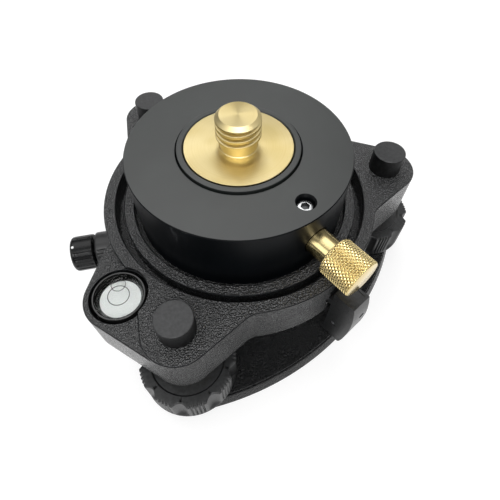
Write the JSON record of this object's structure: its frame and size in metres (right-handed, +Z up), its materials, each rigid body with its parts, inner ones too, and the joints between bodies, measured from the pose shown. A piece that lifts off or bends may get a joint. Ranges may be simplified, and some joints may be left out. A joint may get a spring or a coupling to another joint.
{
  "type": "tribrach",
  "caption": "Levelling tribrach on a tripod base with foot screws, circular level, optical plummet and clamp lever, carrying a rotating adapter with a threaded brass stud.",
  "frame": {"origin": "on the vertical axis at the underside of the base plate", "axes": "+Z up along the vertical axis, +X from the axis through foot screw A, the eyepiece looks out along -X"},
  "size_m": [0.1536, 0.144, 0.0851],
  "materials": {
    "black_casting": "satin",
    "black_anodised": "satin",
    "black_moulding": "matte",
    "brass": "satin",
    "steel": "satin",
    "bronze": "satin",
    "level_white": "gloss",
    "glass": "polished"
  },
  "bodies": {
    "base": {"base_plate": "black_casting", "spring_plate": "black_casting", "thread_insert": "brass", "spring_plate_screw_a": "steel", "spring_plate_screw_b": "steel", "spring_plate_screw_c": "steel"},
    "foot_screw_a": {"foot_knob_a": "black_moulding", "foot_spindle_a": "steel"},
    "foot_screw_b": {"foot_knob_b": "black_moulding", "foot_spindle_b": "steel"},
    "foot_screw_c": {"foot_knob_c": "black_moulding", "foot_spindle_c": "steel"},
    "tribrach_body": {"upper_body": "black_casting", "ring_cover": "steel", "ring_cover_screw_a": "steel", "ring_cover_screw_b": "steel", "ring_cover_screw_c": "steel", "foot_bush_a": "brass", "foot_bush_b": "brass", "foot_bush_c": "brass", "dust_cap_a": "black_moulding", "dust_cap_b": "black_moulding", "dust_cap_c": "black_moulding", "level_cup": "black_anodised", "level_disc": "level_white", "level_fluid": "glass", "level_glass": "glass", "level_screw_a": "steel", "level_screw_b": "steel", "level_screw_c": "steel", "plummet_housing": "black_anodised", "plummet_screw_a": "steel", "plummet_screw_b": "steel", "plummet_screw_c": "steel", "plummet_prism": "glass", "objective_lens": "glass", "reticle": "glass", "adapter_body": "black_anodised", "prong_plate": "steel", "spindle_bush": "bronze", "clamp_bush": "brass", "bush_screw": "steel"},
    "clamp": {"clamp_ring": "steel", "clamp_lever": "black_casting", "lever_screw_a": "steel", "lever_screw_b": "steel", "lever_set_screw": "steel"},
    "spindle_unit": {"spindle": "black_anodised", "stud_flange": "brass", "spindle_washer": "steel", "spindle_nut": "steel"},
    "clamp_knob_unit": {"clamp_knob": "brass"},
    "clamp_pad_unit": {"clamp_pad": "black_moulding"},
    "focus_ring_unit": {"focus_ring": "black_anodised"},
    "focus_cell_unit": {"focus_cell": "black_anodised", "focus_lens": "glass"},
    "eyepiece": {"eyepiece_ring": "black_moulding", "eyepiece_lens": "glass"}
  },
  "joints": [
    {"name": "foot_screw_a_turn", "type": "hinge", "parent": "base", "child": "foot_screw_a", "pos_m": [0.06205, 0, 0.0136], "axis": [0, 0, 1], "range_deg": [-1080, 1080]},
    {"name": "foot_screw_b_turn", "type": "hinge", "parent": "base", "child": "foot_screw_b", "pos_m": [-0.03103, 0.05374, 0.0136], "axis": [0, 0, 1], "range_deg": [-1080, 1080]},
    {"name": "foot_screw_c_turn", "type": "hinge", "parent": "base", "child": "foot_screw_c", "pos_m": [-0.03103, -0.05374, 0.0136], "axis": [0, 0, 1], "range_deg": [-1080, 1080]},
    {"name": "body_height", "type": "slide", "parent": "base", "child": "tribrach_body", "axis": [0, 0, 1], "range_m": [-0.003, 0.003]},
    {"name": "clamp_lever_turn", "type": "hinge", "parent": "tribrach_body", "child": "clamp", "pos_m": [0, 0, 0.035], "axis": [0, 0, 1], "range_deg": [0, 25]},
    {"name": "spindle_turn", "type": "hinge", "parent": "tribrach_body", "child": "spindle_unit", "pos_m": [0, 0, 0.06], "axis": [0, 0, 1], "continuous": true},
    {"name": "clamp_knob_turn", "type": "hinge", "parent": "tribrach_body", "child": "clamp_knob_unit", "pos_m": [0.02633, -0.04829, 0.0575], "axis": [-0.4787, 0.878, 0], "range_deg": [-90, 180]},
    {"name": "clamp_pad_travel", "type": "slide", "parent": "tribrach_body", "child": "clamp_pad_unit", "axis": [-0.4787, 0.878, 0], "range_m": [-0.0002, 0.0004]},
    {"name": "focus_turn", "type": "hinge", "parent": "tribrach_body", "child": "focus_ring_unit", "pos_m": [-0.0585, 0, 0.0228], "axis": [-1, 0, 0], "range_deg": [-150, 150]},
    {"name": "focus_cell_travel", "type": "slide", "parent": "tribrach_body", "child": "focus_cell_unit", "axis": [-1, 0, 0], "range_m": [-0.003, 0.003]},
    {"name": "eyepiece_turn", "type": "hinge", "parent": "tribrach_body", "child": "eyepiece", "pos_m": [-0.068, 0, 0.0228], "axis": [-1, 0, 0], "range_deg": [-180, 180]}
  ],
  "couplings": [
    {"joint": "foot_screw_a_turn", "follows": "body_height", "rad_per_m": -6283.2},
    {"joint": "foot_screw_b_turn", "follows": "body_height", "rad_per_m": -6283.2},
    {"joint": "foot_screw_c_turn", "follows": "body_height", "rad_per_m": -6283.2},
    {"joint": "clamp_knob_turn", "follows": "clamp_pad_travel", "rad_per_m": 7854},
    {"joint": "focus_turn", "follows": "focus_cell_travel", "rad_per_m": 872.66}
  ]
}
